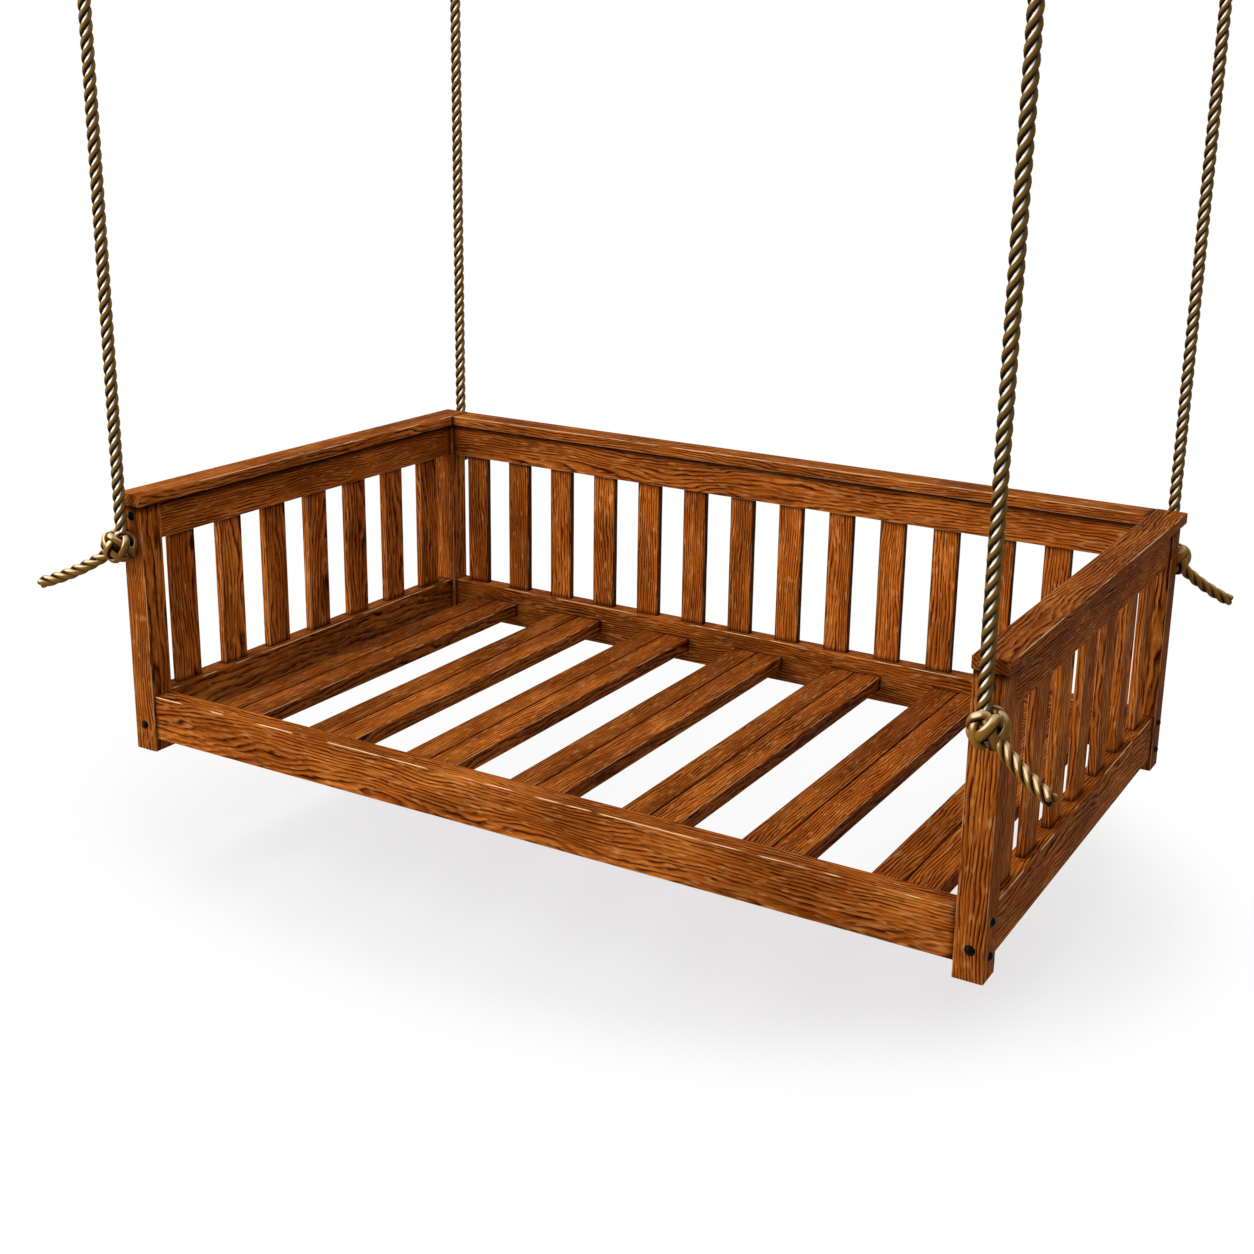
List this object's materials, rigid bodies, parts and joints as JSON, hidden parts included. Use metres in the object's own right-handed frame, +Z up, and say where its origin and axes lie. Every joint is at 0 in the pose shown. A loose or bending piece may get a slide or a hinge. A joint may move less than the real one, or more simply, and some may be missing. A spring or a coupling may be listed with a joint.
{
  "type": "hanging swing bed",
  "caption": "Slatted wooden daybed with a low open front, slatted back and ends under flat caps, hung by knotted ropes from ceiling eyes.",
  "frame": {"origin": "on the ceiling plane, midway between the four ceiling eyes' studs", "axes": "+X along the bed to the right as seen from its open front, +Y from the open front to the back, +Z up into the ceiling"},
  "size_m": [2.3586, 1.419, 2.2],
  "materials": {
    "frame_wood": "reddish-brown stain under semi-gloss varnish",
    "cap_wood": "reddish-brown stain under semi-gloss varnish",
    "slat_wood": "reddish-brown stain under semi-gloss varnish",
    "dark_pegs": "dark stained end grain",
    "plain_dowels": "bare fluted beech, glued in",
    "black_steel": "black powder coat",
    "zinc_steel": "bright zinc plate",
    "rope": "three-strand laid rope, golden brown"
  },
  "bodies": {
    "ceiling": {"ceiling_eyes": "zinc_steel"},
    "link_lf": {"shackle_lf": "zinc_steel", "shackle_pin_lf": "zinc_steel"},
    "rope_lf_hanging": {"thimble_lf": "zinc_steel", "rope_eye_lf": "rope", "rope_lf": "rope"},
    "link_rf": {"shackle_rf": "zinc_steel", "shackle_pin_rf": "zinc_steel"},
    "rope_rf_hanging": {"thimble_rf": "zinc_steel", "rope_eye_rf": "rope", "rope_rf": "rope", "rope_bend_rf": "rope"},
    "link_bl": {"shackle_bl": "zinc_steel", "shackle_pin_bl": "zinc_steel"},
    "rope_bl_hanging": {"thimble_bl": "zinc_steel", "rope_eye_bl": "rope", "rope_bl": "rope", "rope_bend_bl": "rope"},
    "link_br": {"shackle_br": "zinc_steel", "shackle_pin_br": "zinc_steel"},
    "rope_br_hanging": {"thimble_br": "zinc_steel", "rope_eye_br": "rope", "rope_br": "rope", "rope_bend_br": "rope"},
    "bend_lf": {"rope_bend_lf": "rope"},
    "bed": {"post_lf": "frame_wood", "post_rf": "frame_wood", "post_bl": "frame_wood", "post_br": "frame_wood", "low_rail_left": "frame_wood", "low_rail_right": "frame_wood", "low_rail_front": "frame_wood", "low_rail_back": "frame_wood", "top_rail_left": "frame_wood", "top_rail_right": "frame_wood", "top_rail_back": "frame_wood", "cap_left": "cap_wood", "cap_right": "cap_wood", "cap_back": "cap_wood", "bed_slat_1": "slat_wood", "bed_slat_2": "slat_wood", "bed_slat_3": "slat_wood", "bed_slat_4": "slat_wood", "bed_slat_5": "slat_wood", "bed_slat_6": "slat_wood", "bed_slat_7": "slat_wood", "slats_left": "slat_wood", "slats_right": "slat_wood", "slats_back": "slat_wood", "lag_bolts": "black_steel", "tenon_pins": "dark_pegs", "cap_dowels": "plain_dowels", "screw_eyes": "black_steel", "knot_lf": "rope", "knot_rf": "rope", "knot_bl": "rope", "knot_br": "rope"}
  },
  "joints": [
    {"name": "swing_lf", "type": "hinge", "parent": "ceiling", "child": "link_lf", "pos_m": [-1.014, -0.6275, -0.0397], "axis": [1, 0, 0], "range_deg": [-15, 15]},
    {"name": "sway_lf", "type": "hinge", "parent": "link_lf", "child": "rope_lf_hanging", "pos_m": [-1.014, -0.6275, -0.0817], "axis": [0, 1, 0], "range_deg": [-8, 8]},
    {"name": "swing_rf", "type": "hinge", "parent": "ceiling", "child": "link_rf", "pos_m": [1.014, -0.6275, -0.0397], "axis": [1, 0, 0], "range_deg": [-15.2, 15.2]},
    {"name": "sway_rf", "type": "hinge", "parent": "link_rf", "child": "rope_rf_hanging", "pos_m": [1.014, -0.6275, -0.0817], "axis": [0, 1, 0], "range_deg": [-8.2, 8.2]},
    {"name": "swing_bl", "type": "hinge", "parent": "ceiling", "child": "link_bl", "pos_m": [-1.014, 0.6275, -0.0397], "axis": [1, 0, 0], "range_deg": [-15.2, 15.2]},
    {"name": "sway_bl", "type": "hinge", "parent": "link_bl", "child": "rope_bl_hanging", "pos_m": [-1.014, 0.6275, -0.0817], "axis": [0, 1, 0], "range_deg": [-8.2, 8.2]},
    {"name": "swing_br", "type": "hinge", "parent": "ceiling", "child": "link_br", "pos_m": [1.014, 0.6275, -0.0397], "axis": [1, 0, 0], "range_deg": [-15.2, 15.2]},
    {"name": "sway_br", "type": "hinge", "parent": "link_br", "child": "rope_br_hanging", "pos_m": [1.014, 0.6275, -0.0817], "axis": [0, 1, 0], "range_deg": [-8.2, 8.2]},
    {"name": "level_sway", "type": "hinge", "parent": "rope_lf_hanging", "child": "bend_lf", "pos_m": [-1.014, -0.6275, -1.506], "axis": [0, 1, 0], "range_deg": [-8.2, 8.2]},
    {"name": "level_swing", "type": "hinge", "parent": "bend_lf", "child": "bed", "pos_m": [-1.014, -0.6275, -1.506], "axis": [1, 0, 0], "range_deg": [-15.2, 15.2]}
  ],
  "couplings": [
    {"joint": "swing_rf", "follows": "swing_lf", "ratio": 1},
    {"joint": "sway_rf", "follows": "sway_lf", "ratio": 1},
    {"joint": "swing_bl", "follows": "swing_lf", "ratio": 1},
    {"joint": "sway_bl", "follows": "sway_lf", "ratio": 1},
    {"joint": "swing_br", "follows": "swing_lf", "ratio": 1},
    {"joint": "sway_br", "follows": "sway_lf", "ratio": 1},
    {"joint": "level_sway", "follows": "sway_lf", "ratio": -1},
    {"joint": "level_swing", "follows": "swing_lf", "ratio": -1}
  ]
}
